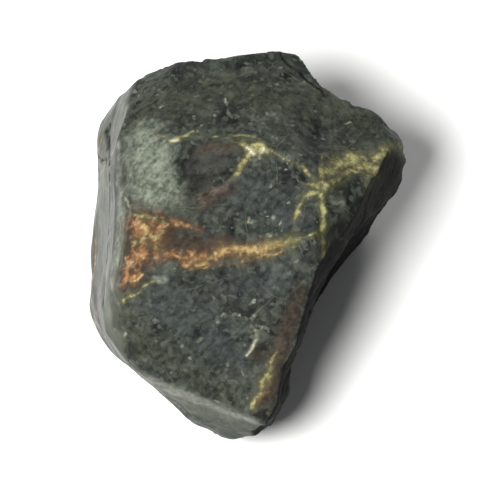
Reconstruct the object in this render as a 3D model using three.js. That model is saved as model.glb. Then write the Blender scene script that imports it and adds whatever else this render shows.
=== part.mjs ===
// A rough piece of black onyx: one broken chunk of dark chalcedony, about 46 mm long, resting on its
// flattest fracture face. Millimetres, +Z up, +Y away from the front, origin on the resting face.
import * as THREE from "three";
import { ConvexGeometry } from "three/addons/geometries/ConvexGeometry.js";
import { ImprovedNoise } from "three/addons/math/ImprovedNoise.js";
import { mergeVertices } from "three/addons/utils/BufferGeometryUtils.js";

const { degToRad, lerp, smoothstep } = THREE.MathUtils;

// A point inside the stone from which all of its surface can be seen.
const HEART = new THREE.Vector3(0, 0, 12.5);

// The stone's corners are placed as they show from the front, looking down at this angle.
const LOOK_DOWN = 70;
const LOOK_CENTRE = 3.8;

// A corner from how far across and up the front view it shows, and its height above the foot.
function seen(across, up, height) {
  const angle = degToRad(LOOK_DOWN);
  const away = (up + LOOK_CENTRE - height * Math.cos(angle)) / Math.sin(angle);
  return new THREE.Vector3(across, away, height);
}

// Corners of the broken block, before any flake is struck off it.
const CROWN_RIM = [
  seen(-13.9, 19.6, 16.5),
  seen(-7.4, 23.6, 18.5),
  seen(1.3, 24.4, 19.0),
  seen(6.2, 22.6, 18.5),
  seen(13.9, 16.9, 18.5),
  seen(18.4, 13.0, 16.5),
  seen(19.1, 10.6, 14.0),
];
const RIDGE = [
  seen(-9.6, 12.6, 25.0),
  seen(-1.2, 12.0, 26.4),
  seen(7.6, 6.4, 27.0),
];
const LEFT_EDGE = [
  seen(-15.6, 14.2, 21.0),
  seen(-14.6, 4.4, 24.0),
  seen(-16.0, -5.0, 22.0),
  seen(-16.9, -9.8, 18.0),
];
const LEFT_BEVEL = [
  seen(-17.2, 13.0, 16.6),
  seen(-17.0, 4.2, 20.2),
  seen(-17.7, -5.4, 18.0),
];
const LOWER_EDGE = [
  seen(-10.2, -3.2, 25.6),
  seen(7.8, 1.0, 26.2),
  seen(-14.3, -14.1, 17.0),
  seen(1.9, -21.5, 14.5),
];
const RIGHT_EDGE = [
  seen(17.0, 11.5, 20.2),
  seen(14.3, 6.9, 23.6),
  seen(6.6, -5.9, 23.6),
];
const BELT = [
  seen(-18.9, 13.0, 8.0),
  seen(-18.0, 15.4, 9.0),
  seen(-16.9, 17.2, 10.0),
  seen(-18.9, 2.0, 7.5),
  seen(-19.2, -8.8, 7.0),
  seen(-17.7, -11.4, 8.0),
  seen(-6.8, -21.7, 7.0),
  seen(-2.9, -23.3, 6.0),
  seen(2.0, -22.4, 9.0),
  seen(2.9, -20.9, 7.0),
  seen(14.2, -0.4, 6.5),
  seen(18.6, 8.4, 9.0),
  new THREE.Vector3(16.2, 14.0, 8.0),
  new THREE.Vector3(8.8, 20.6, 8.5),
  new THREE.Vector3(-4.0, 23.6, 9.0),
  new THREE.Vector3(-13.5, 19.5, 8.0),
];
const FOOT = [
  new THREE.Vector3(-14.5, 13.0, 0),
  new THREE.Vector3(-15.5, -7.0, 0),
  new THREE.Vector3(-9.0, -16.5, 0),
  new THREE.Vector3(-1.0, -18.5, 0),
  new THREE.Vector3(13.5, 8.0, 0),
  new THREE.Vector3(5.5, 18.5, 0),
  new THREE.Vector3(-7.5, 19.0, 0),
];

// Hollows left by flakes: the view each is placed from, its middle as millimetres across and up
// that view, the radius of its curve and its depth below the block.
const FRONT = { bearing: 0, slope: LOOK_DOWN, middle: seen(0, 0, 0) };
const RIGHT = { bearing: 62, slope: 8, middle: HEART };
const BACK_RIGHT = { bearing: 145, slope: 4, middle: HEART };
const BACK = { bearing: 180, slope: 10, middle: HEART };
const BACK_LEFT = { bearing: 228, slope: 20, middle: HEART };
const LEFT = { bearing: 270, slope: 10, middle: HEART };
const HOLLOWS = [
  { name: "middle", view: FRONT, across: -1.0, up: 5.0, curve: 60, depth: 1.35 },
  { name: "dark pocket", view: FRONT, across: -5.8, up: 8.1, curve: 8, depth: 1.6 },
  { name: "pocket end", view: FRONT, across: -3.3, up: 8.9, curve: 6, depth: 1.4 },
  { name: "lower face", view: FRONT, across: -4.2, up: -11.5, curve: 85, depth: 1.1 },
  { name: "lower corner", view: FRONT, across: 0.6, up: -14.5, curve: 30, depth: 0.9 },
  { name: "crown", view: FRONT, across: -4.0, up: 16.6, curve: 70, depth: 0.8 },
  { name: "crown shoulder", view: FRONT, across: 11.6, up: 13.0, curve: 22, depth: 0.8 },
  { name: "triangle", view: FRONT, across: 12.6, up: 6.4, curve: 20, depth: 0.5 },
  { name: "waist", view: RIGHT, across: -1.0, up: -5.0, curve: 22, depth: 4.2 },
  { name: "waist lower", view: RIGHT, across: -13.0, up: 1.0, curve: 14, depth: 1.0 },
  { name: "right heel", view: RIGHT, across: 9.0, up: -7.0, curve: 16, depth: 1.3 },
  { name: "rim notch", view: BACK_RIGHT, across: 1.7, up: 1.5, curve: 8, depth: 2.6 },
  { name: "back bowl", view: BACK, across: 5.0, up: -2.0, curve: 34, depth: 2.2 },
  { name: "back step", view: BACK, across: -9.5, up: -5.0, curve: 16, depth: 1.4 },
  { name: "back left", view: BACK_LEFT, across: 2.5, up: -4.5, curve: 24, depth: 1.5 },
  { name: "left sweep", view: LEFT, across: 3.0, up: 1.0, curve: 90, depth: 0.7 },
  { name: "left heel", view: LEFT, across: -8.0, up: -7.5, curve: 14, depth: 1.2 },
];

// How the fracture faces are uneven. The ledges follow the stone's bedding and show where it is steep.
const SWELL = { size: 12, height: 0.36 };
const LUMP = { size: 4.8, height: 0.16 };
const LEDGE = { rise: 4.1, height: 0.36, wander: 3.2, steepness: [0.4, 0.8] };

// Chips along the edges that turn by more than so many degrees, and how far apart they are.
const CHIP = { turn: 25, apart: 7.5, curve: [2.5, 7.5], depth: [0.2, 0.8], seed: 14 };

// Block faces within this many degrees of each other are one fracture.
const ALIGNED = 9;

// The ball of small triangles that is shaped into the stone, stretched as the stone is. Corners
// lower than LEVEL belong to the foot, and faces met at less than GRAZING are passed over.
const BALL = { detail: 20, stretch: new THREE.Vector3(19, 23, 14) };
const HALVINGS = 12;
const GRAZING = 0.02;
const LEVEL = 0.01;

const ripples = new ImprovedNoise();
const NOISE_GAIN = 1.6;
const NOISE_SHIFT = new THREE.Vector3(17, 7.3, 3.9);

// Smooth noise between about -1 and 1 with lumps of a given size. Each sort has its own pattern.
function noise(point, size, sort) {
  const { x, y, z } = point;
  const shift = NOISE_SHIFT;
  return NOISE_GAIN * ripples.noise(x / size + sort * shift.x, y / size + shift.y, z / size + shift.z);
}

// Numbers from 0 to 1 in a fixed order, for what chance placed on the real stone.
function chance(seed) {
  let state = seed;
  return () => {
    state = (state + 0x6d2b79f5) | 0;
    let mixed = Math.imul(state ^ (state >>> 15), 1 | state);
    mixed = (mixed + Math.imul(mixed ^ (mixed >>> 7), 61 | mixed)) ^ mixed;
    return ((mixed ^ (mixed >>> 14)) >>> 0) / 2 ** 32;
  };
}

// The flat faces of the block. Faces of one fracture share a sort, so they read as one.
function facesOf(block) {
  const place = block.getAttribute("position");
  const faces = [];
  for (let i = 0; i < place.count; i += 3) {
    const corners = [i, i + 1, i + 2].map((k) => new THREE.Vector3().fromBufferAttribute(place, k));
    const facing = new THREE.Triangle(...corners).getNormal(new THREE.Vector3());
    const like = faces.find((face) => face.facing.angleTo(facing) < degToRad(ALIGNED));
    const distance = facing.dot(corners[0].clone().sub(HEART));
    const foot = corners.every((corner) => corner.z === 0);
    faces.push({ corners, facing, distance, foot, sort: like ? like.sort : faces.length });
  }
  return faces;
}

// The edges of the block that turn sharply, as two ends and the way the edge faces.
function sharpEdges(faces) {
  const named = (corner) => corner.toArray().map((n) => n.toFixed(2)).join();
  const edges = new Map();
  for (const face of faces.filter(({ foot }) => !foot)) {
    face.corners.forEach((from, k) => {
      const to = face.corners[(k + 1) % 3];
      const key = [named(from), named(to)].sort().join("|");
      edges.set(key, [...(edges.get(key) ?? []), { from, to, facing: face.facing }]);
    });
  }
  return [...edges.values()]
    .filter((sides) => sides.length === 2)
    .filter(([one, other]) => one.facing.angleTo(other.facing) > degToRad(CHIP.turn))
    .map(([one, other]) => ({ ...one, facing: one.facing.clone().add(other.facing).normalize() }));
}

// A round bite out of the stone, to a depth below a point of the block.
function bite(at, facing, curve, depth) {
  return { middle: at.clone().addScaledVector(facing, curve - depth).sub(HEART), curve };
}

// The hollow that is placed from a view of the block.
function hollow(block, { name, view, across, up, curve, depth }) {
  const toPart = new THREE.Matrix4()
    .makeRotationZ(degToRad(view.bearing))
    .multiply(new THREE.Matrix4().makeRotationX(degToRad(90 - view.slope)));
  const from = new THREE.Vector3(across, up, 200).applyMatrix4(toPart).add(view.middle);
  const towards = new THREE.Vector3(0, 0, -1).transformDirection(toPart);
  const [hit] = new THREE.Raycaster(from, towards).intersectObject(new THREE.Mesh(block));
  if (!hit) throw new Error(`the hollow called ${name} misses the block`);
  return bite(hit.point, hit.face.normal, curve, depth);
}

// Chips knocked out along the sharp edges.
function chips(faces) {
  const roll = chance(CHIP.seed);
  return sharpEdges(faces).flatMap(({ from, to, facing }) => {
    const count = Math.round(from.distanceTo(to) / CHIP.apart);
    return Array.from({ length: count }, () => {
      const at = from.clone().lerp(to, roll());
      return bite(at, facing, lerp(...CHIP.curve, roll()), lerp(...CHIP.depth, roll()));
    });
  });
}

// How far a fracture stands out at a point, from its swells, lumps and ledges.
function unevenness(point, facing, sort) {
  const low = SWELL.height * noise(point, SWELL.size, sort);
  const high = LUMP.height * noise(point, LUMP.size, sort);
  const steep = smoothstep(1 - Math.abs(facing.z), ...LEDGE.steepness);
  const bed = (point.z + LEDGE.wander * noise(point, SWELL.size, 3)) / LEDGE.rise;
  const worn = (1 + noise(point, SWELL.size, 5)) / 2;
  return low + high + steep * worn * LEDGE.height * (bed - Math.floor(bed) - 0.5);
}

// How far the stone reaches from its heart in one direction, and which fracture is met there.
function reach({ faces, bites }, direction) {
  let nearest = { distance: Infinity, met: null };
  const meet = (distance, met) => {
    if (distance > 0 && distance < nearest.distance) nearest = { distance, met };
  };
  for (const { facing, distance, foot, sort } of faces) {
    const along = facing.dot(direction);
    if (along < GRAZING) continue;
    const point = direction.clone().multiplyScalar(distance / along).add(HEART);
    const raised = foot ? 0 : unevenness(point, facing, sort);
    meet((distance + raised) / along, `face ${sort}`);
  }
  bites.forEach(({ middle, curve }, k) => {
    const along = middle.dot(direction);
    const inside = (radius) => along ** 2 - middle.lengthSq() + radius ** 2;
    if (inside(curve) <= 0) return;
    const point = direction.clone().multiplyScalar(along - Math.sqrt(inside(curve)));
    const facing = middle.clone().sub(point).normalize();
    const ragged = curve - unevenness(point.add(HEART), facing, k);
    if (inside(ragged) > 0) meet(along - Math.sqrt(inside(ragged)), `bite ${k}`);
  });
  return nearest;
}

// The share of the way between two directions at which one fracture gives way to another.
function crossing(shape, from, to) {
  const { met } = reach(shape, from);
  let near = 0;
  let far = 1;
  for (let step = 0; step < HALVINGS; step++) {
    const half = (near + far) / 2;
    const between = from.clone().lerp(to, half).normalize();
    if (reach(shape, between).met === met) near = half;
    else far = half;
  }
  return (near + far) / 2;
}

// Turns the directions next to an edge of the stone right onto it, so that edges come out crisp.
function ontoEdges(shape, directions, index) {
  const met = directions.map((direction) => reach(shape, direction).met);
  const turned = directions.map((direction) => ({ share: 0.5, direction }));
  const turn = (i, share, direction) => {
    if (share < turned[i].share) turned[i] = { share, direction };
  };
  index.forEach((from, i) => {
    const to = index[i - (i % 3) + ((i + 1) % 3)];
    if (from > to || met[from] === met[to]) return;
    const share = crossing(shape, directions[from], directions[to]);
    const edge = directions[from].clone().lerp(directions[to], share).normalize();
    turn(from, share, edge);
    turn(to, 1 - share, edge);
  });
  return turned.map(({ direction }) => direction);
}

// The stone's surface: a ball of small triangles whose corners are moved out to the fractures.
function surfaceOf(shape) {
  const ball = new THREE.IcosahedronGeometry(1, BALL.detail);
  for (const name of ["normal", "uv"]) ball.deleteAttribute(name);
  const geometry = mergeVertices(ball);
  const place = geometry.getAttribute("position");
  const directions = Array.from({ length: place.count }, (_, i) =>
    new THREE.Vector3().fromBufferAttribute(place, i).multiply(BALL.stretch).normalize(),
  );
  ontoEdges(shape, directions, geometry.index.array).forEach((direction, i) => {
    const { distance } = reach(shape, direction);
    const { x, y, z } = direction.clone().multiplyScalar(distance).add(HEART);
    place.setXYZ(i, x, y, z < LEVEL ? 0 : z);
  });
  return geometry;
}

const block = new ConvexGeometry(
  [CROWN_RIM, RIDGE, LEFT_EDGE, LEFT_BEVEL, LOWER_EDGE, RIGHT_EDGE, BELT, FOOT].flat(),
);
const faces = facesOf(block);
const bites = [...HOLLOWS.map((one) => hollow(block, one)), ...chips(faces)];

const stone = new THREE.Mesh(
  surfaceOf({ faces, bites }),
  new THREE.MeshStandardMaterial({ color: 0x343b39, roughness: 0.5, metalness: 0 }),
);
stone.name = "onyx_chunk";

const onyx = new THREE.Group();
onyx.add(stone);
export default onyx;
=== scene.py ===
"""A rough piece of black onyx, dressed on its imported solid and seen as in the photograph."""

import logging
import math
from dataclasses import dataclass, field
from enum import Enum

import bmesh
import bpy
import numpy as np
from mathutils import Matrix, Vector, noise
from mathutils.bvhtree import BVHTree


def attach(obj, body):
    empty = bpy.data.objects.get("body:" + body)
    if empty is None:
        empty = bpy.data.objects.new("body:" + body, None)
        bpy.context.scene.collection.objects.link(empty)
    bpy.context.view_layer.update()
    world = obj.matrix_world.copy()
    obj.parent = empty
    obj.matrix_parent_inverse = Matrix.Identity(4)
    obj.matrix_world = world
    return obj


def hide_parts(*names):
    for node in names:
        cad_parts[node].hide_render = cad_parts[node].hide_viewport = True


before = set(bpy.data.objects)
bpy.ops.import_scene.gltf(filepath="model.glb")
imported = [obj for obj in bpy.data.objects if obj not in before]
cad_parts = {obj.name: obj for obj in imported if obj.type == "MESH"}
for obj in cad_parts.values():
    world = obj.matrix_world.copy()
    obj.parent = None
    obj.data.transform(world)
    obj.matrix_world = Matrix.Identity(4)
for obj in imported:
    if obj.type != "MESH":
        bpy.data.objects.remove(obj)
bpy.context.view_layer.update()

MM = 0.001
NODE = "onyx_chunk"
FARTHEST = 6.0
log = logging.getLogger("onyx")


def linear(code: str) -> tuple[float, float, float, float]:
    """Turns an sRGB colour into the linear one that Blender works with.

    Args:
        code: The colour as a hex code, such as "#2b302e".

    Returns:
        Red, green, blue and full alpha, each from 0 to 1.
    """
    parts = [int(code[i : i + 2], 16) / 255 for i in (1, 3, 5)]
    red, green, blue = [p / 12.92 if p <= 0.04045 else ((p + 0.055) / 1.055) ** 2.4 for p in parts]
    return (red, green, blue, 1.0)


def add(tree: bpy.types.NodeTree, kind: str, settings: dict, sockets: dict) -> bpy.types.Node:
    """Adds one node to a material.

    Args:
        tree: The material's node tree.
        kind: The node's type without "ShaderNode", such as "Bump".
        settings: Values of the node's own properties.
        sockets: For each input, by name or place, a value or another node's output to link.

    Returns:
        The new node.
    """
    node = tree.nodes.new("ShaderNode" + kind)
    for name, value in settings.items():
        setattr(node, name, value)
    for name, value in sockets.items():
        if isinstance(value, bpy.types.NodeSocket):
            tree.links.new(value, node.inputs[name])
        else:
            node.inputs[name].default_value = value
    return node


class View(Enum):
    """A direction that a mark is placed from: its bearing and slope in degrees."""

    FRONT = (0, 70)
    LEFT = (270, 10)
    RIGHT = (62, 12)
    BACK = (180, 15)

    def axes(self) -> tuple[Vector, Vector, Vector]:
        """Works out how the view lies in the stone's frame.

        Returns:
            The view's directions across, up and towards the eye.
        """
        bearing, slope = (math.radians(angle) for angle in self.value)
        turn = Matrix.Rotation(bearing, 3, "Z") @ Matrix.Rotation(math.pi / 2 - slope, 3, "X")
        return turn.col[0].copy(), turn.col[1].copy(), turn.col[2].copy()

    def middle(self) -> Vector:
        """Gives the point, in millimetres, that the view's distances start from."""
        return Vector((0, 4.04, 0)) if self is View.FRONT else Vector((0, 0, 12.5))


class Stain(Enum):
    """A kind of mark, by the name of the attribute that holds the distance to it.

    The first six are tints: MOSS, SLATE, SAGE and CLAY are the stone's own, BLOOM is a pale tint that
    is partly a painted highlight along edges, and POCKET_SHADE is painted shade in the dark pocket. CRACK_SHADE is
    an open crack, painted dark inside as painted shade, and the rest are minerals.
    """

    MOSS = "moss"
    SLATE = "slate"
    SAGE = "sage"
    BLOOM = "bloom_and_highlight"
    CLAY = "clay"
    POCKET_SHADE = "pocket_shade"
    CRACK_SHADE = "crack_shade"
    UMBER = "umber"
    RUST = "rust"
    OLIVE = "olive"
    GOLD = "gold"
    CREAM = "cream"


@dataclass(frozen=True)
class Stroke:
    """One mark on the stone: a line of points across and up a view, and its half-width along it."""

    stain: Stain
    view: View
    points: tuple[tuple[float, float], ...]
    halves: tuple[float, float]

    def places(self, finest: float = 0.12) -> list[tuple[float, float, float]]:
        """Walks along the stroke in steps of half its half-width.

        Args:
            finest: The shortest step, in millimetres.

        Returns:
            Each place's millimetres across and up, and the stroke's half-width there.
        """
        step = max(finest, min(self.halves) / 2)
        lengths = [math.dist(a, b) for a, b in zip(self.points, self.points[1:])]
        whole, gone, places = sum(lengths), 0.0, []
        for (a, b), length in zip(zip(self.points, self.points[1:]), lengths):
            count = max(1, round(length / step))
            for k in range(count + 1):
                share = k / count
                along = (gone + share * length) / whole
                half = self.halves[0] + along * (self.halves[1] - self.halves[0])
                places.append((a[0] + share * (b[0] - a[0]), a[1] + share * (b[1] - a[1]), half))
            gone += length
        return places


STROKES = (
    # Tints of the stone itself: warm on the crown and at the lower left, cooler on the broken faces.
    # Among them are painted shade in the dark pocket and in the open cracks, and a pale tint that is
    # partly a painted highlight along edges.
    Stroke(Stain.MOSS, View.FRONT, ((-12.0, 16.0), (-3.0, 18.5), (6.0, 17.5), (13.5, 14.2)), (3.2, 2.6)),
    Stroke(Stain.MOSS, View.FRONT, ((-15.0, -8.0), (-12.4, -12.6), (-7.0, -15.4), (-2.0, -18.0)), (1.6, 1.2)),
    Stroke(Stain.SLATE, View.FRONT, ((-0.6, 6.4), (2.4, 4.6), (5.0, 3.2)), (2.6, 2.0)),
    Stroke(Stain.SLATE, View.FRONT, ((-9.6, -6.8), (-6.0, -9.6), (-2.6, -13.0)), (2.8, 2.6)),
    Stroke(Stain.SLATE, View.FRONT, ((-1.5, -4.6), (3.6, -4.0)), (2.0, 2.0)),
    Stroke(Stain.SAGE, View.FRONT, ((9.6, 5.5), (10.1, 5.0), (11.0, 5.1)), (0.3, 0.34)),
    Stroke(Stain.SAGE, View.FRONT, ((-11.2, -4.0), (-10.3, -4.2)), (0.3, 0.3)),
    Stroke(Stain.SAGE, View.FRONT, ((-15.0, 4.0), (-15.2, 1.0), (-15.9, -3.0)), (0.5, 0.25)),
    Stroke(Stain.CLAY, View.FRONT, ((-5.6, 5.4), (-4.2, 6.0), (-2.4, 6.6)), (1.0, 0.8)),
    Stroke(Stain.CLAY, View.FRONT, ((-5.6, 11.4), (-3.8, 11.2), (-2.0, 11.4)), (0.5, 0.5)),
    Stroke(Stain.CLAY, View.FRONT, ((-9.8, 0.6), (-6.8, -0.4), (-3.6, -0.2)), (1.3, 0.8)),
    Stroke(Stain.CLAY, View.FRONT, ((5.2, -7.0), (4.2, -9.6), (3.3, -12.6), (2.4, -15.0)), (0.5, 0.7)),
    # Painted shade: the dark pocket in the middle face is painted near black.
    Stroke(Stain.POCKET_SHADE, View.FRONT, ((-7.0, 10.8), (-7.2, 8.4), (-6.6, 6.2)), (0.6, 0.6)),
    Stroke(Stain.POCKET_SHADE, View.FRONT, ((-6.4, 9.8), (-4.4, 9.9), (-2.6, 10.2)), (1.2, 0.8)),
    Stroke(Stain.POCKET_SHADE, View.FRONT, ((-5.8, 7.8), (-4.6, 8.4), (-3.4, 8.8)), (0.9, 0.7)),
    # Pale tint along the front face's upper edge and the left wall's inner edge, partly a painted highlight on those
    # edges.
    Stroke(Stain.BLOOM, View.FRONT, ((-14.4, -14.9), (-12.2, -16.0), (-9.8, -17.2), (-7.6, -18.0)), (0.8, 0.8)),
    Stroke(Stain.BLOOM, View.FRONT, ((-7.6, -18.0), (-4.0, -19.4), (0.4, -21.0)), (0.75, 0.5)),
    Stroke(Stain.BLOOM, View.FRONT, ((-14.1, 4.4), (-14.8, 0.6), (-15.8, -5.0)), (0.16, 0.14)),
    Stroke(Stain.BLOOM, View.FRONT, ((-15.7, 12.0), (-15.5, 6.0), (-15.7, 1.0), (-16.4, -5.0)), (0.3, 0.5)),
    # Open cracks: carved as grooves and painted near black inside, which is painted shade.
    Stroke(Stain.CRACK_SHADE, View.FRONT, ((-16.9, 14.4), (-16.7, 6.0), (-16.9, 0.0), (-17.4, -7.0)), (0.26, 0.12)),
    Stroke(Stain.CRACK_SHADE, View.FRONT, ((-17.2, 13.8), (-17.0, 11.4)), (0.34, 0.24)),
    Stroke(Stain.CRACK_SHADE, View.FRONT, ((5.4, 8.9), (6.2, 8.2), (6.9, 7.4)), (0.16, 0.3)),
    Stroke(Stain.CRACK_SHADE, View.FRONT, ((9.6, 6.9), (11.4, 8.0), (12.8, 8.9)), (0.16, 0.16)),
    Stroke(Stain.CRACK_SHADE, View.LEFT, ((-13.0, -7.4), (-10.6, -4.2), (-9.8, -1.0), (-8.0, 0.8)), (0.14, 0.2)),
    Stroke(Stain.CRACK_SHADE, View.BACK, ((-9.0, 3.0), (-4.0, 1.0), (-1.0, -3.0), (-2.0, -8.0)), (0.2, 0.24)),
    Stroke(Stain.CRACK_SHADE, View.RIGHT, ((-9.0, 3.0), (-4.0, 0.0), (4.0, 0.6), (10.0, -3.0)), (0.2, 0.24)),
    Stroke(Stain.SAGE, View.FRONT, ((-12.8, 12.8), (-12.2, 10.0), (-11.6, 7.4)), (1.9, 2.4)),
    Stroke(Stain.SAGE, View.FRONT, ((-10.8, 11.0), (-9.8, 8.2), (-9.6, 6.4)), (1.3, 1.1)),
    # The rust patch at the left of the middle face, its arm, its foot and the speckles beside it.
    Stroke(Stain.RUST, View.FRONT, ((-13.4, 2.6), (-12.6, 1.0), (-12.8, -0.9)), (1.2, 1.1)),
    Stroke(Stain.RUST, View.FRONT, ((-11.6, 2.6), (-10.9, 1.0), (-11.0, -0.9)), (1.0, 0.8)),
    Stroke(Stain.RUST, View.FRONT, ((-13.9, -1.4), (-14.8, -3.4), (-15.2, -4.8)), (0.65, 0.5)),
    Stroke(Stain.RUST, View.FRONT, ((-13.6, -3.4), (-14.0, -4.4)), (0.4, 0.4)),
    Stroke(Stain.RUST, View.FRONT, ((-10.2, 2.2), (-8.2, 2.5), (-5.8, 1.7)), (0.55, 0.25)),
    Stroke(Stain.RUST, View.FRONT, ((-9.6, -0.9), (-7.6, -1.9), (-5.4, -1.2)), (0.5, 0.5)),
    Stroke(Stain.RUST, View.FRONT, ((-7.6, -2.1), (-4.4, -1.6), (-2.4, -0.7), (1.2, -0.8)), (0.5, 0.4)),
    Stroke(Stain.OLIVE, View.FRONT, ((-10.0, 2.4), (-11.6, 3.0), (-13.6, 3.6)), (0.16, 0.24)),
    Stroke(Stain.OLIVE, View.FRONT, ((-10.2, 1.6), (-12.0, 0.6), (-13.9, 0.5)), (0.14, 0.2)),
    Stroke(Stain.UMBER, View.FRONT, ((-10.6, 0.6), (-12.2, -1.2), (-13.4, -3.0)), (0.3, 0.4)),
    Stroke(Stain.UMBER, View.FRONT, ((-12.8, 1.5), (-11.0, 2.0)), (0.2, 0.2)),
    Stroke(Stain.UMBER, View.FRONT, ((-9.6, 0.6), (-6.8, -0.4), (-4.2, 0.2)), (1.2, 0.9)),
    Stroke(Stain.UMBER, View.FRONT, ((-13.6, 1.0), (-13.6, -3.6)), (1.3, 1.2)),
    # The gold vein along the edge between the middle and the lower face.
    Stroke(Stain.GOLD, View.FRONT, ((-7.8, -2.6), (-5.5, -2.2), (-4.0, -1.3), (-2.9, -0.6)), (0.24, 0.6)),
    Stroke(Stain.GOLD, View.FRONT, ((-2.9, -0.5), (-1.4, -0.9), (0.2, -0.8), (2.1, -0.6)), (0.7, 0.6)),
    Stroke(Stain.OLIVE, View.FRONT, ((1.4, -0.6), (4.3, 0.2), (5.4, 0.5)), (0.7, 0.5)),
    Stroke(Stain.GOLD, View.FRONT, ((2.1, -0.5), (4.3, 0.2)), (0.4, 0.2)),
    Stroke(Stain.OLIVE, View.FRONT, ((4.3, 0.2), (5.9, 0.9), (8.2, 1.2)), (0.3, 0.16)),
    Stroke(Stain.GOLD, View.FRONT, ((-7.2, -2.9), (-3.6, -2.5), (0.6, -1.7), (3.6, -0.9)), (0.1, 0.16)),
    Stroke(Stain.GOLD, View.FRONT, ((-12.6, 2.2), (-11.8, 1.0), (-10.8, -0.4)), (0.4, 0.5)),
    Stroke(Stain.GOLD, View.FRONT, ((-14.2, -4.4), (-13.4, -4.2), (-12.8, -3.5)), (0.16, 0.12)),
    Stroke(Stain.OLIVE, View.FRONT, ((-15.5, -7.0), (-14.2, -6.2), (-12.6, -5.0), (-11.2, -4.2)), (0.2, 0.12)),
    # The seam along the ridge, its bright spots and its branches to the right.
    Stroke(Stain.OLIVE, View.FRONT, ((-9.4, 12.2), (-8.4, 12.7), (-6.3, 13.5)), (0.28, 0.2)),
    Stroke(Stain.OLIVE, View.FRONT, ((-6.0, 13.0), (-3.6, 12.7), (-1.0, 12.1)), (0.1, 0.14)),
    Stroke(Stain.OLIVE, View.FRONT, ((-1.0, 12.0), (1.6, 11.6)), (0.25, 0.4)),
    Stroke(Stain.OLIVE, View.FRONT, ((-11.8, 13.4), (-9.9, 12.6)), (0.1, 0.12)),
    Stroke(Stain.OLIVE, View.FRONT, ((-2.2, 12.9), (0.6, 12.9)), (0.16, 0.16)),
    Stroke(Stain.OLIVE, View.FRONT, ((2.1, 11.5), (4.2, 10.2), (5.9, 9.4), (7.6, 7.9), (8.4, 6.9)), (0.16, 0.14)),
    Stroke(Stain.OLIVE, View.FRONT, ((-0.9, 12.0), (0.5, 11.2), (1.9, 11.0)), (0.4, 0.36)),
    Stroke(Stain.CREAM, View.FRONT, ((-0.5, 11.7), (0.5, 10.7)), (0.13, 0.18)),
    Stroke(Stain.CREAM, View.FRONT, ((1.7, 11.3), (1.1, 10.2)), (0.14, 0.1)),
    Stroke(Stain.OLIVE, View.FRONT, ((-0.2, 10.8), (-1.2, 9.2), (-2.0, 7.6)), (0.34, 0.2)),
    Stroke(Stain.OLIVE, View.FRONT, ((8.6, 10.4), (8.4, 8.4), (8.4, 6.7)), (0.2, 0.3)),
    Stroke(Stain.OLIVE, View.FRONT, ((8.4, 6.7), (8.5, 3.3), (8.6, 0.3), (8.7, -1.6)), (0.3, 0.32)),
    Stroke(Stain.OLIVE, View.FRONT, ((6.6, 7.2), (8.2, 6.7), (8.7, 6.7)), (0.24, 0.5)),
    Stroke(Stain.OLIVE, View.FRONT, ((8.2, 6.6), (6.6, 5.6), (5.7, 4.4), (5.3, 3.2)), (0.34, 0.24)),
    Stroke(Stain.OLIVE, View.FRONT, ((5.1, 2.8), (5.6, 1.1), (7.4, 0.5)), (0.1, 0.1)),
    Stroke(Stain.OLIVE, View.FRONT, ((8.4, 6.7), (9.7, 7.4), (11.6, 8.6), (13.2, 9.5)), (0.42, 0.5)),
    Stroke(Stain.OLIVE, View.FRONT, ((9.2, 8.6), (10.6, 9.6), (12.2, 10.3)), (0.6, 0.9)),
    Stroke(Stain.OLIVE, View.FRONT, ((11.4, 9.8), (13.0, 10.2), (14.6, 10.2)), (1.0, 1.1)),
    Stroke(Stain.OLIVE, View.FRONT, ((14.0, 10.0), (14.6, 9.4), (14.9, 7.8)), (1.1, 1.2)),
    Stroke(Stain.OLIVE, View.FRONT, ((14.6, 10.4), (15.8, 10.9), (17.2, 11.7), (18.8, 11.8)), (0.7, 0.5)),
    # The brown haze in and above the dark pocket.
    Stroke(Stain.UMBER, View.FRONT, ((-6.8, 11.2), (-4.2, 11.8), (-1.4, 11.3)), (0.3, 0.4)),
    Stroke(Stain.UMBER, View.FRONT, ((-6.2, 3.8), (-3.8, 5.3), (-1.6, 6.8)), (0.3, 0.3)),
    Stroke(Stain.UMBER, View.FRONT, ((12.6, 9.0), (13.4, 8.6)), (0.4, 0.4)),
    # The brown rim along the lower right edge.
    Stroke(Stain.UMBER, View.FRONT, ((6.2, -5.4), (5.1, -8.0), (4.2, -11.0), (3.4, -14.0)), (0.8, 1.3)),
    Stroke(Stain.UMBER, View.FRONT, ((3.4, -14.0), (2.8, -16.4), (2.0, -18.6)), (1.1, 1.0)),
    Stroke(Stain.RUST, View.FRONT, ((2.4, -15.6), (1.7, -17.2), (1.0, -18.6)), (0.2, 0.34)),
    Stroke(Stain.OLIVE, View.FRONT, ((3.2, -12.8), (2.2, -15.0), (1.5, -16.8)), (0.16, 0.45)),
    Stroke(Stain.OLIVE, View.FRONT, ((1.4, -17.0), (0.4, -19.4)), (0.3, 0.3)),
    # Pale quartz streaks and flecks.
    Stroke(Stain.CREAM, View.FRONT, ((0.7, -10.2), (0.9, -11.2), (0.2, -12.4), (-0.3, -13.2)), (0.12, 0.1)),
    Stroke(Stain.CREAM, View.FRONT, ((1.7, -9.8), (1.0, -10.8)), (0.07, 0.09)),
    Stroke(Stain.CREAM, View.FRONT, ((11.1, 14.6), (12.0, 14.5)), (0.09, 0.07)),
    Stroke(Stain.CREAM, View.FRONT, ((-0.2, 2.7), (0.0, 3.0)), (0.1, 0.08)),
    Stroke(Stain.CREAM, View.FRONT, ((2.0, 1.2), (2.2, 1.4)), (0.07, 0.07)),
    Stroke(Stain.CREAM, View.FRONT, ((3.5, 2.5), (3.7, 2.8)), (0.08, 0.06)),
    Stroke(Stain.CREAM, View.FRONT, ((2.0, 3.4), (2.2, 3.3)), (0.07, 0.07)),
    Stroke(Stain.CREAM, View.FRONT, ((4.4, 4.9), (4.6, 5.1)), (0.06, 0.06)),
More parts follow.
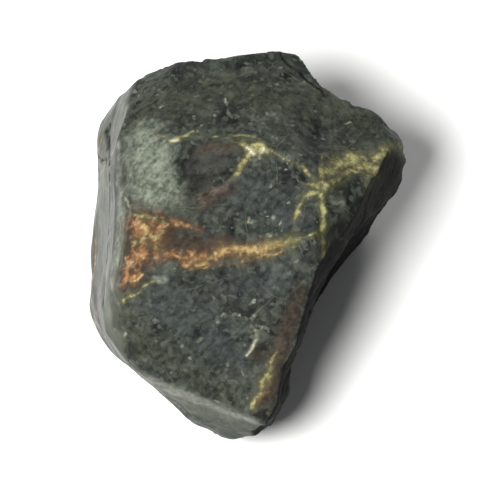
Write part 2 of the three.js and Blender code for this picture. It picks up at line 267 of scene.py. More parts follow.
    Stroke(Stain.CREAM, View.FRONT, ((-9.3, 12.2), (-8.5, 12.6)), (0.16, 0.2)),
    Stroke(Stain.CREAM, View.FRONT, ((-7.5, 13.2), (-6.7, 13.5)), (0.07, 0.07)),
    Stroke(Stain.CREAM, View.FRONT, ((-15.0, 5.8), (-14.2, 4.6)), (0.06, 0.07)),
    Stroke(Stain.CREAM, View.FRONT, ((-7.2, -7.7), (-6.9, -8.0)), (0.08, 0.07)),
    Stroke(Stain.CREAM, View.FRONT, ((-14.9, -10.8), (-14.8, -10.7)), (0.11, 0.11)),
    # Marks on the sides that the photograph hides, of the same kinds.
    Stroke(Stain.UMBER, View.LEFT, ((4.0, -2.0), (8.0, -3.6), (13.0, -3.4)), (0.8, 1.4)),
    Stroke(Stain.RUST, View.LEFT, ((6.5, -2.8), (9.5, -3.8), (13.5, -3.4)), (0.1, 0.3)),
    Stroke(Stain.GOLD, View.LEFT, ((-14.0, -5.0), (-6.0, -6.4), (3.0, -5.6), (9.0, -7.2)), (0.15, 0.25)),
    Stroke(Stain.OLIVE, View.LEFT, ((-9.0, 4.0), (-8.2, -1.0), (-9.6, -6.0)), (0.12, 0.2)),
    Stroke(Stain.OLIVE, View.BACK, ((-13.0, 0.0), (-6.0, -1.5), (1.0, -4.4), (6.5, -4.0), (13.0, -7.5)), (0.3, 0.22)),
    Stroke(Stain.OLIVE, View.BACK, ((-7.4, -1.2), (-8.6, -5.0), (-7.6, -9.5)), (0.2, 0.14)),
    Stroke(Stain.GOLD, View.BACK, ((-2.6, -2.8), (1.0, -4.4), (4.0, -4.6)), (0.2, 0.5)),
    Stroke(Stain.RUST, View.BACK, ((2.0, -5.0), (5.0, -7.0), (6.5, -9.5)), (0.7, 1.3)),
    Stroke(Stain.UMBER, View.BACK, ((1.0, -6.0), (4.0, -8.4)), (1.4, 1.6)),
    Stroke(Stain.SAGE, View.BACK, ((-10.5, -6.0), (-7.0, -3.5)), (1.4, 1.8)),
    Stroke(Stain.SLATE, View.BACK, ((5.0, 0.0), (10.0, -3.0)), (2.6, 2.6)),
    Stroke(Stain.MOSS, View.LEFT, ((10.0, -6.0), (0.0, -8.0), (-12.0, -7.0)), (2.2, 2.2)),
    Stroke(Stain.UMBER, View.RIGHT, ((-14.0, 4.0), (-9.0, -2.0), (-5.0, -8.0)), (0.8, 1.5)),
    Stroke(Stain.OLIVE, View.RIGHT, ((2.0, 8.0), (4.0, 1.0), (9.0, -4.0), (15.0, -6.0)), (0.18, 0.25)),
    Stroke(Stain.RUST, View.RIGHT, ((9.0, -3.4), (12.0, -5.4)), (0.4, 0.8)),
    Stroke(Stain.SAGE, View.FRONT, ((-3.2, 18.0), (-2.8, 16.4), (-2.2, 15.1)), (0.1, 0.14)),
) + tuple(
    # Small pale spots on the crown, the middle face and the lower face.
    Stroke(Stain.SAGE, View.FRONT, ((across, up), (across + 0.2, up + 0.1)), (half, half))
    for across, up, half in (
        (-10.9, 16.3, 0.16), (-6.5, 17.8, 0.18), (-4.2, 15.4, 0.16), (0.0, 16.2, 0.14), (2.6, 15.4, 0.2),
        (3.0, 19.0, 0.16), (-1.5, 3.4, 0.14), (0.2, 2.6, 0.18), (1.7, 4.0, 0.14), (2.7, 3.1, 0.15),
        (-0.3, 4.2, 0.12), (-6.9, -7.9, 0.2), (-6.1, -11.3, 0.2), (-8.2, -12.0, 0.16), (-4.0, -9.2, 0.16),
        (-3.3, -8.4, 0.14), (0.4, -8.4, 0.16),
    )
)


@dataclass(frozen=True)
class BlackChalcedony:
    """Black onyx, a fine-grained quartz, broken by hammer blows and never polished.

    The fracture is waxy: soft broad highlights on the faces, finer and duller where it is weathered.
    The black is a very dark green-grey, clouded, with pale mottles and healed hairline cracks. Iron
    has stained it rust, gold and olive along its cracks. The natural joint faces at the left and in
    front are smooth and keep a thin pale grey skin, banded along the bedding. They are turned to the
    light, and their paleness is partly painted light and painted reflection. The wall at the right
    faces away from the light and is painted a clean deep black, which is painted shade.
    """

    deep: str = "#0d100f"
    body: str = "#1c201d"
    cloud: str = "#393e36"
    # The sorts of grain: size in millimetres, the share of plain ones, colour and strength.
    grains: tuple[tuple[float, float, str, float], ...] = (
        (1.7, 0.2, "#3a3f36", 0.5),
        (0.9, 0.35, "#4c5147", 0.65),
        (0.6, 0.4, "#0c0e0c", 0.6),
        (0.5, 0.72, "#5c6055", 0.65),
        # The palest and rarest sort: pale specks that also stand in for tiny glints, so partly painted glints.
        (0.45, 0.97, "#85877a", 0.7),
    )
    grain_blur: float = 0.3
    healed: str = "#565a48"
    # Paler sharp edges: edge wear, and also a painted highlight along the edges.
    worn_and_highlight: str = "#666a60"
    fleck: str = "#b3a88c"
    # Painted shade: the near black that the right wall, turned away from the light, is painted in.
    fresh: str = "#070808"
    # The pale skin's dark and light colour. On the faces turned to the light, its paleness is partly painted light
    # and painted reflection.
    skin: tuple[str, str] = ("#282a24", "#575b50")
    cloud_mm: float = 6.0
    mottle_mm: float = 1.5
    cell_mm: float = 9.5
    ragged_mm: float = 1.0
    band_mm: float = 2.4
    streak_mm: float = 0.55
    streak_bearing: float = 50.0
    grain_mm: float = 0.4
    grain_depth_mm: float = 0.09
    roughness: tuple[float, float] = (0.5, 0.7)
    skin_roughness: float = 0.34
    shade_wall_roughness: float = 1.0
    ior: float = 1.54
    gloss: float = 0.15
    # A tint's dark and light colour, its strength, and the half-widths that it fades between.
    tints: tuple[tuple[Stain, str, str, float, tuple[float, float]], ...] = (
        (Stain.MOSS, "#14170f", "#454839", 0.62, (0.1, 1.6)),
        (Stain.SLATE, "#191d1d", "#3f4543", 0.75, (0.1, 1.6)),
        (Stain.SAGE, "#434a3f", "#828878", 0.88, (0.3, 2.2)),
        # Pale tint that is partly a painted highlight along edges.
        (Stain.BLOOM, "#5b5d54", "#8f9186", 0.6, (0.0, 2.2)),
        (Stain.CLAY, "#2c2520", "#66584c", 0.72, (0.1, 1.8)),
        # Painted shade in the dark pocket.
        (Stain.POCKET_SHADE, "#0c0b09", "#302f28", 0.75, (0.6, 1.5)),
        # Painted shade inside the open cracks.
        (Stain.CRACK_SHADE, "#050505", "#0c0c0a", 0.9, (0.6, 1.4)),
    )
    # A mineral's dark and light colour, its strength, how broken it is and how much of it is flecked.
    minerals: tuple[tuple[Stain, str, str, float, float, float], ...] = (
        (Stain.UMBER, "#1a140e", "#3a3026", 0.75, 0.8, 0.0),
        (Stain.RUST, "#4b3422", "#98714a", 0.87, 0.75, 0.7),
        (Stain.OLIVE, "#4b492e", "#9b9665", 0.9, 0.6, 0.5),
        (Stain.GOLD, "#51412a", "#a08758", 0.88, 0.65, 0.6),
        (Stain.CREAM, "#96937d", "#dcd8bf", 0.95, 0.5, 0.0),
    )

    def patterns(self, tree: bpy.types.NodeTree, place: bpy.types.NodeSocket) -> dict:
        """Adds the noises that the material is made of.

        Args:
            tree: The material's node tree.
            place: The surface point in millimetres.

        Returns:
            Each noise's output from 0 to 1, by name.
        """
        sizes = {
            "cloud": (self.cloud_mm, 5, 0.6, 0.6),
            "mottle": (self.mottle_mm, 4, 0.65, 0.3),
            "cluster": (self.mottle_mm * 2.6, 3, 0.6, 0.4),
            "swing": (self.ragged_mm * 2.7, 3, 0.55, 0.4),
            "ragged": (self.ragged_mm, 3, 0.6, 0.3),
            "shade": (self.ragged_mm * 0.5, 3, 0.6, 0.0),
            "grain": (self.grain_mm, 3, 0.6, 0.0),
            "rough": (self.grain_mm * 3.2, 3, 0.55, 0.0),
        }
        found = {}
        for k, (name, (size, detail, roughness, distortion)) in enumerate(sizes.items()):
            shifted = add(tree, "VectorMath", {"operation": "ADD"}, {0: place, 1: (31.7 * k, 12.1 * k, 7.9 * k)})
            found[name] = add(tree, "TexNoise", {}, {
                "Vector": shifted.outputs[0],
                "Scale": 1 / size,
                "Detail": detail,
                "Roughness": roughness,
                "Distortion": distortion,
            }).outputs[0]
        flat = (0.07 / self.band_mm, 0.07 / self.band_mm, 1 / self.band_mm)
        layered = add(tree, "VectorMath", {"operation": "MULTIPLY"}, {0: place, 1: flat})
        found["bands"] = add(tree, "TexNoise", {}, {
            "Vector": layered.outputs[0], "Scale": 1.0, "Detail": 3, "Roughness": 0.6, "Distortion": 0.2,
        }).outputs[0]
        turned = add(tree, "VectorRotate", {"rotation_type": "Z_AXIS"}, {
            "Vector": place, "Angle": -math.radians(self.streak_bearing),
        }).outputs[0]
        drawn = add(tree, "VectorMath", {"operation": "MULTIPLY"}, {
            0: turned, 1: (0.32 / self.streak_mm, 1 / self.streak_mm, 1 / self.streak_mm),
        }).outputs[0]
        found["streaks"] = add(tree, "TexNoise", {}, {"Vector": drawn, "Scale": 1.0, "Detail": 3}).outputs[0]
        return found

    def layer(self, tree: bpy.types.NodeTree, below: object, above: object, share: object) -> bpy.types.NodeSocket:
        """Lays one colour over another.

        Args:
            tree: The material's node tree.
            below: The colour below, as a value or an output.
            above: The colour on top, as a value or an output.
            share: How much the top one covers, from 0 to 1.

        Returns:
            The colour that results.
        """
        return add(tree, "Mix", {"data_type": "RGBA"}, {0: share, 6: below, 7: above}).outputs[2]

    def sums(self, tree: bpy.types.NodeTree, parts: dict) -> bpy.types.NodeSocket:
        """Adds noises up, each about its middle and times a weight.

        Args:
            tree: The material's node tree.
            parts: Each noise's output and its weight.

        Returns:
            The sum, which lies around 0.
        """
        total = -sum(parts.values()) / 2
        for output, weight in parts.items():
            total = add(tree, "Math", {"operation": "MULTIPLY_ADD"}, {0: output, 1: weight, 2: total}).outputs[0]
        return total

    def ground(self, tree: bpy.types.NodeTree, noises: dict, place: bpy.types.NodeSocket) -> bpy.types.NodeSocket:
        """Colours the unstained stone: cloudy black with mottles, flecks and healed cracks.

        Args:
            tree: The material's node tree.
            noises: The outputs of patterns().
            place: The surface point in millimetres.

        Returns:
            The colour.
        """
        tone = self.sums(tree, {noises["cloud"]: 3.0, noises["mottle"]: 3.8})
        ramp = add(tree, "ValToRGB", {}, {0: add(tree, "Math", {}, {0: tone, 1: 0.5}).outputs[0]})
        stops = ramp.color_ramp.elements
        stops[0].position, stops[0].color = 0.08, linear(self.deep)
        stops[1].position, stops[1].color = 1.0, linear(self.cloud)
        middle = stops.new(0.5)
        middle.color = linear(self.body)
        colour = ramp.outputs[0]
        bend = add(tree, "TexNoise", {}, {"Vector": place, "Scale": 0.7 / self.ragged_mm, "Detail": 3}).outputs[1]
        bent = add(tree, "VectorMath", {"operation": "MULTIPLY_ADD"}, {0: bend, 1: (0.6, 0.6, 0.6), 2: place})
        where = add(tree, "MapRange", {}, {0: noises["cluster"], 1: 0.38, 2: 0.62, 3: 0.45, 4: 1.0}).outputs[0]
        for size, rarity, tint, strength in self.grains:
            grain = add(tree, "TexVoronoi", {"feature": "SMOOTH_F1"}, {
                "Vector": bent.outputs[0], "Scale": 1 / size, "Smoothness": self.grain_blur,
            }).outputs["Color"]
            chosen = add(tree, "SeparateColor", {}, {0: grain}).outputs[0]
            lit = add(tree, "MapRange", {}, {0: chosen, 1: rarity, 2: 1.0, 3: 0.0, 4: strength}).outputs[0]
            share = add(tree, "Math", {"operation": "MULTIPLY"}, {0: lit, 1: where}).outputs[0]
            colour = self.layer(tree, colour, linear(tint), share)
        gap = add(tree, "TexVoronoi", {"feature": "DISTANCE_TO_EDGE"}, {
            "Vector": bent.outputs[0], "Scale": 1 / self.cell_mm,
        }).outputs["Distance"]
        width = add(tree, "MapRange", {}, {0: noises["swing"], 1: 0.4, 2: 0.68, 3: 0.001, 4: 0.016}).outputs[0]
        line = add(tree, "MapRange", {}, {0: gap, 1: 0.0, 2: width, 3: 0.55, 4: 0.0}).outputs[0]
        return self.layer(tree, colour, linear(self.healed), line)

    def marked(self, tree: bpy.types.NodeTree, noises: dict, colour: bpy.types.NodeSocket) -> tuple:
        """Lays the tints and the mineral stains over the ground colour.

        A tint is a wide haze. A mineral is a faint dark halo and a crumbling core, palest in its middle.

        Args:
            tree: The material's node tree.
            noises: The outputs of patterns().
            colour: The colour so far.

        Returns:
            The colour, and how much mineral there is, from 0 to 1.
        """
        crumble = self.sums(tree, {noises["swing"]: 4.0, noises["ragged"]: 4.2, noises["shade"]: 1.6})
        bright = self.sums(tree, {noises["streaks"]: 2.2, noises["shade"]: 2.2, noises["mottle"]: 4.0})
        shade = add(tree, "MapRange", {}, {0: bright, 1: -0.7, 2: 0.9, 3: 0.0, 4: 1.0}).outputs[0]
        for stain, dark, light, strength, fade in self.tints:
            distance = add(tree, "Attribute", {"attribute_name": stain.value}, {}).outputs["Fac"]
            soft = add(tree, "Math", {"operation": "MULTIPLY_ADD"}, {0: crumble, 1: -0.35, 2: distance}).outputs[0]
            haze = add(tree, "MapRange", {"interpolation_type": "SMOOTHSTEP"}, {
                0: soft, 1: fade[0], 2: fade[1], 3: strength, 4: 0.0,
            }).outputs[0]
            colour = self.layer(tree, colour, self.layer(tree, linear(dark), linear(light), shade), haze)
        cover = None
        for stain, dark, light, strength, broken, flecked in self.minerals:
            distance = add(tree, "Attribute", {"attribute_name": stain.value}, {}).outputs["Fac"]
            halo = add(tree, "MapRange", {"interpolation_type": "SMOOTHSTEP"}, {
                0: distance, 1: 0.4, 2: 3.4, 3: 0.5 * strength, 4: 0.0,
            }).outputs[0]
            colour = self.layer(tree, colour, linear(dark), halo)
            ragged = add(tree, "Math", {"operation": "MULTIPLY"}, {0: crumble, 1: broken}).outputs[0]
            inside = add(tree, "Math", {"operation": "SUBTRACT"}, {0: ragged, 1: distance}).outputs[0]
            core = add(tree, "MapRange", {"interpolation_type": "SMOOTHSTEP"}, {
                0: inside, 1: -1.8, 2: 0.2, 3: 0.0, 4: strength,
            }).outputs[0]
            pale = add(tree, "Math", {"operation": "MULTIPLY_ADD"}, {0: inside, 1: 0.5, 2: shade}).outputs[0]
            pale = add(tree, "MapRange", {}, {0: pale, 1: -0.35, 2: 0.75, 3: 0.0, 4: 1.0}).outputs[0]
            flecks = add(tree, "MapRange", {}, {0: bright, 1: 0.3, 2: 1.3, 3: 0.0, 4: flecked}).outputs[0]
            tinted = self.layer(tree, linear(dark), linear(light), pale)
            colour = self.layer(tree, colour, self.layer(tree, tinted, linear(self.fleck), flecks), core)
            cover = core if cover is None else add(
                tree, "Math", {"operation": "MAXIMUM"}, {0: cover, 1: core}
            ).outputs[0]
        return colour, cover

    def material(self) -> bpy.types.Material:
        """Makes the finish.

        Returns:
            The material, which reads the stone's own attributes and Object coordinates.
        """
        made = bpy.data.materials.new("black_chalcedony_fresh_fracture")
        made.use_nodes = True
        tree = made.node_tree
        tree.nodes.clear()
        metres = add(tree, "TexCoord", {}, {}).outputs["Object"]
        place = add(tree, "VectorMath", {"operation": "SCALE"}, {0: metres, "Scale": 1 / MM}).outputs[0]
        noises = self.patterns(tree, place)
        marks = {
            name: add(tree, "Attribute", {"attribute_name": name}, {}).outputs["Fac"]
            for name in ("edge", "fresh", "skin")
        }
        colour = self.ground(tree, noises, place)
        # The pale banded skin: a real skin whose paleness also stands in for the light and grazing reflection on the
        # faces turned to the light (painted light).
        bands = add(tree, "MapRange", {}, {0: noises["bands"], 1: 0.36, 2: 0.64, 3: 0.0, 4: 1.0}).outputs[0]
        skin = self.layer(tree, linear(self.skin[0]), linear(self.skin[1]), bands)
        thin = add(tree, "MapRange", {}, {0: noises["mottle"], 1: 0.3, 2: 0.6, 3: 0.6, 4: 1.0}).outputs[0]
        skin_and_light_share = add(tree, "Math", {"operation": "MULTIPLY"}, {0: marks["skin"], 1: thin}).outputs[0]
        colour = self.layer(tree, colour, skin, skin_and_light_share)
        colour, cover = self.marked(tree, noises, colour)
        # Paler sharp edges: edge wear together with a painted edge highlight.
        rubbed_and_lit = add(tree, "Math", {"operation": "MULTIPLY"}, {0: marks["edge"], 1: noises["ragged"]}).outputs[0]
        wear_and_highlight = add(tree, "MapRange", {}, {0: rubbed_and_lit, 1: 0.2, 2: 0.6, 3: 0.0, 4: 0.55}).outputs[0]
        colour = self.layer(tree, colour, linear(self.worn_and_highlight), wear_and_highlight)
        # Painted shade: the right wall that faces away from the light is painted near black.
        shade_wall_share = add(tree, "Math", {"operation": "MULTIPLY"}, {0: marks["fresh"], 1: 0.86}).outputs[0]
        colour = self.layer(tree, colour, linear(self.fresh), shade_wall_share)
        rough = add(tree, "MapRange", {}, {
            0: noises["mottle"], 1: 0.3, 2: 0.7, 3: self.roughness[0], 4: self.roughness[1],
        }).outputs[0]
        rough = add(tree, "Math", {"operation": "MULTIPLY_ADD"}, {0: cover, 1: 0.2, 2: rough}).outputs[0]
        for share, value in ((skin_and_light_share, self.skin_roughness), (marks["fresh"], self.shade_wall_roughness)):
            rough = add(tree, "Mix", {"data_type": "FLOAT"}, {0: share, 2: rough, 3: value}).outputs[0]
        height = self.sums(tree, {noises["grain"]: 0.7, noises["rough"]: 1.0})
        bump = add(tree, "Bump", {}, {"Height": height, "Strength": 0.8, "Distance": self.grain_depth_mm * MM})
        shader = add(tree, "BsdfPrincipled", {}, {
            "Base Color": colour,
            "Roughness": rough,
            "Normal": bump.outputs[0],
            "IOR": self.ior,
            "Specular IOR Level": self.gloss,
        })
        add(tree, "OutputMaterial", {}, {"Surface": shader.outputs[0]})
        return made


@dataclass(frozen=True)
class PaleCard:
    """Matt white photographer's card: even, with no gloss of its own."""

    tone: str = "#f2f2f0"

    def material(self) -> bpy.types.Material:
        """Makes the finish of the floor."""
        made = bpy.data.materials.new("matt_white_card")
        made.use_nodes = True
        shader = made.node_tree.nodes["Principled BSDF"]
        shader.inputs["Base Color"].default_value = linear(self.tone)
        shader.inputs["Roughness"].default_value = 0.9
        shader.inputs["Specular IOR Level"].default_value = 0.2
        return made


@dataclass
class Chunk:
    """The stone: one broken piece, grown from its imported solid, with sizes in millimetres."""

    seed: int = 14
    voxel: float = 0.255
    crisp_turn: float = 20.0
    melt_rounds: int = 2
    edge_reach: int = 6
    foot_band: float = 1.2
    wander: tuple[tuple[float, float], ...] = ((1.7, 0.35), (0.6, 0.14))
    wave: tuple[float, float] = (3.1, 0.08)
    grit: tuple[float, float] = (0.95, 0.045)
    chip: tuple[float, float] = (1.5, 0.26)
    pit: tuple[float, float] = (2.8, 0.2)
    bed: tuple[float, float] = (1.3, 0.1)
    hackle: tuple[tuple[float, float], ...] = ((3.2, 0.1), (1.3, 0.14))
    seam_depth: float = 0.07
    crack_depth: float = 0.3
    ripples: tuple[tuple[View, float, float, float, float], ...] = field(default=(
        (View.FRONT, -12.0, -18.0, 26.0, 2.1),
        (View.FRONT, 9.0, 3.5, 15.0, 1.5),
        (View.FRONT, -15.0, 20.0, 22.0, 1.9),
        (View.BACK, 12.0, 8.0, 24.0, 2.2),
        (View.RIGHT, -14.0, -6.0, 26.0, 2.0),
    ))
    finish: BlackChalcedony = field(default_factory=BlackChalcedony)

    def solid(self) -> bpy.types.Object:
        """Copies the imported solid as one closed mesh, with its sharp edges marked.

        Returns:
            The copy, linked to the scene.
        """
        mesh = bpy.data.meshes.new("onyx_stone")
        shape = bmesh.new()
        shape.from_mesh(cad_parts[NODE].data)
        bmesh.ops.remove_doubles(shape, verts=shape.verts, dist=0.001 * MM)
        bmesh.ops.recalc_face_normals(shape, faces=shape.faces)
        crease = shape.edges.layers.float.new("crease_edge")
        for edge in shape.edges:
            edge[crease] = 1.0 if edge.calc_face_angle(0) > math.radians(self.crisp_turn) else 0.0
        shape.to_mesh(mesh)
        shape.free()
        piece = bpy.data.objects.new("onyx_stone", mesh)
        bpy.context.scene.collection.objects.link(piece)
        return piece

    def remeshed(self, piece: bpy.types.Object) -> None:
        """Rounds the small facets off and gives the stone an even fine mesh to carve.

        Args:
            piece: The stone, whose mesh is replaced.
        """
        round_off = piece.modifiers.new("round_off", "SUBSURF")
        round_off.levels = round_off.render_levels = 2
        remesh = piece.modifiers.new("grain", "REMESH")
        remesh.mode = "VOXEL"
        remesh.voxel_size = self.voxel * MM
        remesh.adaptivity = 0.0
        seen = piece.evaluated_get(bpy.context.evaluated_depsgraph_get())
        fine = bpy.data.meshes.new_from_object(seen)
        piece.modifiers.clear()
        piece.data = fine
        fine.name = "onyx_stone"

    def edges_of(self, mesh: bpy.types.Mesh) -> np.ndarray:
        """Lists the pairs of vertices that the mesh's edges join."""
        pairs = np.empty(len(mesh.edges) * 2, np.int32)
        mesh.edges.foreach_get("vertices", pairs)
        return pairs.reshape(-1, 2)

    def spread(self, values: np.ndarray, pairs: np.ndarray, rounds: int) -> np.ndarray:
        """Averages values with their neighbours'.

        Args:
            values: One row or number for each vertex.
            pairs: The vertices that each edge joins.
            rounds: How many times to average.

        Returns:
            The averaged values.
        """
        columns = values.reshape(len(values), -1).copy()
        count = np.bincount(pairs.ravel(), minlength=len(values))[:, None]
        for _ in range(rounds):
            total = np.zeros_like(columns)
            for k in range(columns.shape[1]):
                total[:, k] = np.bincount(pairs[:, 0], columns[pairs[:, 1], k], len(values))
                total[:, k] += np.bincount(pairs[:, 1], columns[pairs[:, 0], k], len(values))
            columns = (columns + total) / (1 + count)
        return columns.reshape(values.shape)

    def sharpness(self, places: np.ndarray, normals: np.ndarray, pairs: np.ndarray) -> np.ndarray:
        """Finds the stone's outer edges.

        Args:
            places: The vertices in millimetres.
            normals: Their directions outwards.
            pairs: The vertices that each edge joins.

        Returns:
            From 0 on a flat face to 1 on a sharp edge, for each vertex.
        """
        smooth = self.spread(places, pairs, self.edge_reach)
        proud = np.einsum("ij,ij->i", places - smooth, normals)
        return np.clip(self.spread(proud, pairs, 2) / 0.15, 0, 1)

    def relief(self, places: np.ndarray, normals: np.ndarray, marks: dict) -> np.ndarray:
        """Works out how far each point of the stone's skin moves outwards.

        Args:
            places: The vertices in millimetres.
            normals: Their directions outwards.
            marks: What is noted at each vertex: how sharp the edge is, how much of each special
                face there is, and the distance to each stain in half-widths.

        Returns:
            The movement of each vertex, in millimetres.
        """
        edge = marks["edge"]
        calm = 1 - 0.75 * marks["skin"]
        rough = 1 - 0.75 * np.maximum(marks["skin"], marks["fresh"])
        seams = np.min([marks[s.value] for s in (Stain.GOLD, Stain.RUST, Stain.OLIVE)], axis=0)
        cracks = np.clip(1.3 - marks[Stain.CRACK_SHADE.value], 0, 1)
        centres = []
        for view, across, up, reach, spacing in self.ripples:
            right, above, towards = view.axes()
            centres.append((view.middle() + right * across + above * up + towards * 12, reach, spacing))
        moved = np.zeros(len(places))
        for i, (x, y, z) in enumerate(places):
            at = Vector((x, y, z))
            out = normals[i]
            rise = self.wave[1] * noise.fractal(at / self.wave[0], 0.8, 2.1, 3)
            rise += self.grit[1] * noise.fractal(at / self.grit[0], 0.7, 2.0, 3)
            bite = noise.noise(at / self.chip[0] + Vector((9, 4, 7)))
            rise -= edge[i] * self.chip[1] * max(0.0, bite + 0.15)
            hole = noise.voronoi(at / self.pit[0] + Vector((3, 8, 1)))[0][0]
            rise -= self.pit[1] * max(0.0, 0.22 - hole) / 0.22
            for size, slope in self.hackle:
                spot = noise.voronoi(at / size)[1][0]
                tilt = noise.cell_vector(spot * 7.3) - Vector((0.5, 0.5, 0.5))
                rise += slope * size * (at / size - spot).dot(tilt) * rough[i]
            steep = max(0.0, 0.75 - abs(out[2]))
            bed = (z + 1.5 * noise.noise(at / 9.0)) / self.bed[0]
            step = bed - math.floor(bed)
            rise += self.bed[1] * steep * (1 - step if step > 0.2 else 4 * step) * (0.6 + noise.noise(at / 4.0))
            for centre, reach, spacing in centres:
                far = (at - centre).length
                if far < reach:
                    rise += 0.035 * (1 - far / reach) * math.sin(math.tau * far / spacing)
            rise *= calm[i]
            if seams[i] < 1.6:
                rise -= self.seam_depth * (1.6 - seams[i]) * (0.4 + noise.noise(at / 0.7))
            moved[i] = rise
        return moved - self.crack_depth * cracks

    def laid(self, stroke: Stroke, tree: BVHTree) -> list[tuple[np.ndarray, float]]:
        """Lays a stroke on the stone, with no gap where the stone falls steeply away.

        Args:
            stroke: The mark.
            tree: The stone's surface in millimetres.

        Returns:
            Points on the stone and the stroke's half-width at each.
        """
        right, above, towards = stroke.view.axes()
        spots = []
        for across, up, half in stroke.places():
            start = stroke.view.middle() + right * across + above * up + towards * 100
            hit = tree.ray_cast(start, -towards)[0]
            if hit is None:
                continue
            last = spots[-1][0] if spots else hit
            count = max(1, round((hit - last).length / half))
            spots += [(last.lerp(hit, k / count), half) for k in range(1, count + 1)]
        return [(np.array(spot), half) for spot, half in spots]

    def stain_distances(self, places: np.ndarray, tree: BVHTree) -> dict:
        """Measures how far each vertex is from each stain's strokes, which wander a little.

        Args:
            places: The vertices in millimetres.
            tree: The stone's surface in millimetres, which the strokes are laid on.

        Returns:
            For each stain, the distance in half-widths, at most FARTHEST, at each vertex.
        """
        noise.seed_set(self.seed)
        asked = np.array([
            place + sum(np.array(noise.noise_vector(Vector(place) / size)) * far for size, far in self.wander)
            for place in places
        ])
        found = {stain: np.full(len(asked), FARTHEST) for stain in Stain}
        for stroke in STROKES:
            for spot, half in self.laid(stroke, tree):
                away = np.linalg.norm(asked - spot, axis=1) / half
                np.minimum(found[stroke.stain], away, out=found[stroke.stain])
        return found

    def faces(self, places: np.ndarray, normals: np.ndarray) -> dict:
        """Finds the stone's special faces by the way they point.

        Args:
            places: The vertices in millimetres.
            normals: Their directions outwards.

        Returns:
            From 0 to 1 for each vertex: "fresh" on the right wall that faces away from the light, which is
            painted in shade, and "skin" on the smooth joint faces at the left and in front, which face the
            light and carry a pale skin that is partly painted light.
        """
        found = {}
        # Chosen by the way the faces point. The right wall, turned away from the key light, gets painted shade. The
        # faces turned towards it get the pale skin, which is partly painted light.
        for name, bearing, least in (("fresh", 62, 0.7), ("left", 270, 0.42), ("front", -23, 0.72)):
            turn = math.radians(bearing)
            facing = normals @ np.array([math.sin(turn), -math.cos(turn), 0.0])
            found[name] = np.clip((facing - least) / 0.2, 0, 1)
        found["left"] *= np.clip(-13.6 - places[:, 0], 0, 1)
        # The front face's skin fades from its left end towards the right, away from the light: partly painted light.
        found["front"] *= np.clip((6 - places[:, 0]) / 14, 0.15, 0.55)
        found["fresh"] *= np.clip((10.5 - places[:, 1]) / 2.5, 0, 1)
        return {"fresh": found["fresh"], "skin": np.maximum(found["left"], found["front"])}

    def carved(self, piece: bpy.types.Object) -> None:
        """Carves the stone's fine relief and notes on the mesh where its edges and stains are.

        Args:
            piece: The stone with its even mesh.
        """
        mesh = piece.data
        pairs = self.edges_of(mesh)
        places = np.empty(len(mesh.vertices) * 3)
        mesh.vertices.foreach_get("co", places)
        places = places.reshape(-1, 3) / MM
        normals = np.empty(len(mesh.vertices) * 3)
        mesh.vertices.foreach_get("normal", normals)
        normals = normals.reshape(-1, 3)
        edge = self.sharpness(places, normals, pairs)
        melted = self.spread(places, pairs, self.melt_rounds)
        places = places + (melted - places) * (1 - 0.75 * edge[:, None])
        tree = BVHTree.FromPolygons([tuple(p) for p in places], [tuple(f.vertices) for f in mesh.polygons])
        stains = self.stain_distances(places, tree)
        marks = {"edge": edge, **self.faces(places, normals), **{s.value: d for s, d in stains.items()}}
        held = np.clip((places[:, 2] - 0.1) / self.foot_band, 0, 1)
        moved = self.relief(places, normals, marks) * held * held * (3 - 2 * held)
        places = places + normals * moved[:, None]
        places[:, 2] = np.maximum(places[:, 2], 0)
        mesh.vertices.foreach_set("co", (places * MM).ravel())
        for name, values in marks.items():
            layer = mesh.attributes.new(name, "FLOAT", "POINT")
            layer.data.foreach_set("value", values.astype(np.float32))
        mesh.update()

    def build(self) -> bpy.types.Object:
        """Makes the stone and sets it on the frame.

        Returns:
            The finished piece.
        """
        piece = self.solid()
        self.remeshed(piece)
        self.carved(piece)
        piece.data.materials.clear()
        piece.data.materials.append(self.finish.material())
        piece.data.polygons.foreach_set("use_smooth", [True] * len(piece.data.polygons))
        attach(piece, "root")
        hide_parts(NODE)
        log.info("%s: %d vertices", piece.name, len(piece.data.vertices))
        return piece


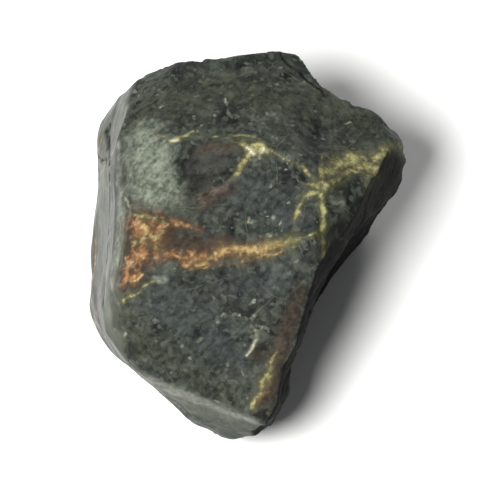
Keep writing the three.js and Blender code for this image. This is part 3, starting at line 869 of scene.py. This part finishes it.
@dataclass
class Studio:
    """The pale floor, the soft lights and the camera, with sizes in metres."""

    floor_side: float = 4.0
    view_height: float = 0.0585
    distance: float = 1.2
    slope: float = 70.0
    sensor: float = 36.0
    aim: tuple[float, float, float] = (0.0, -0.0005, 0.0125)
    glow: float = 0.13
    lights: tuple[tuple[str, tuple[float, float, float], float, float], ...] = field(default=(
        ("key", (-0.28, -0.22, 0.62), 0.34, 9.4),
        ("rear", (0.10, 0.60, 0.40), 0.40, 1.7),
    ))
    finish: PaleCard = field(default_factory=PaleCard)

    def floor(self) -> bpy.types.Object:
        """Lays the floor.

        Returns:
            The floor.
        """
        mesh = bpy.data.meshes.new("floor")
        shape = bmesh.new()
        bmesh.ops.create_grid(shape, x_segments=1, y_segments=1, size=self.floor_side / 2)
        shape.to_mesh(mesh)
        shape.free()
        mesh.materials.append(self.finish.material())
        card = bpy.data.objects.new("floor", mesh)
        bpy.context.scene.collection.objects.link(card)
        return card

    def lamps(self) -> None:
        """Hangs the soft lights and sets the air's faint glow."""
        for name, place, side, watts in self.lights:
            lamp = bpy.data.lights.new(name, "AREA")
            lamp.shape = "DISK"
            lamp.size = side
            lamp.energy = watts
            hung = bpy.data.objects.new(name, lamp)
            hung.location = place
            hung.rotation_euler = (Vector(self.aim) - Vector(place)).to_track_quat("-Z", "Y").to_euler()
            bpy.context.scene.collection.objects.link(hung)
        world = bpy.data.worlds.new("studio")
        world.use_nodes = True
        air = world.node_tree.nodes["Background"]
        air.inputs["Color"].default_value = linear("#f4f6f8")
        air.inputs["Strength"].default_value = self.glow
        bpy.context.scene.world = world

    def camera(self) -> bpy.types.Object:
        """Sets the camera up at the photograph's angle.

        Returns:
            The camera.
        """
        lens = bpy.data.cameras.new("camera")
        lens.sensor_width = self.sensor
        lens.lens = self.sensor * self.distance / (self.view_height * 500 / 489)
        lens.clip_start = 0.01
        slope = math.radians(self.slope)
        eye = bpy.data.objects.new("camera", lens)
        towards = Vector((0, -math.cos(slope), math.sin(slope)))
        eye.location = Vector(self.aim) + towards * self.distance
        eye.rotation_euler = (math.pi / 2 - slope, 0, 0)
        bpy.context.scene.collection.objects.link(eye)
        bpy.context.scene.camera = eye
        return eye

    def build(self) -> None:
        """Sets up the whole studio."""
        self.floor()
        self.lamps()
        self.camera()
        bpy.context.scene.view_settings.view_transform = "Standard"
        log.info("studio: floor, %d lights and camera", len(self.lights))


def main() -> None:
    """Builds the stone and the studio."""
    logging.basicConfig(level=logging.INFO, format="%(name)s: %(message)s")
    Studio().build()
    Chunk().build()


if __name__ == "__main__":
    main()
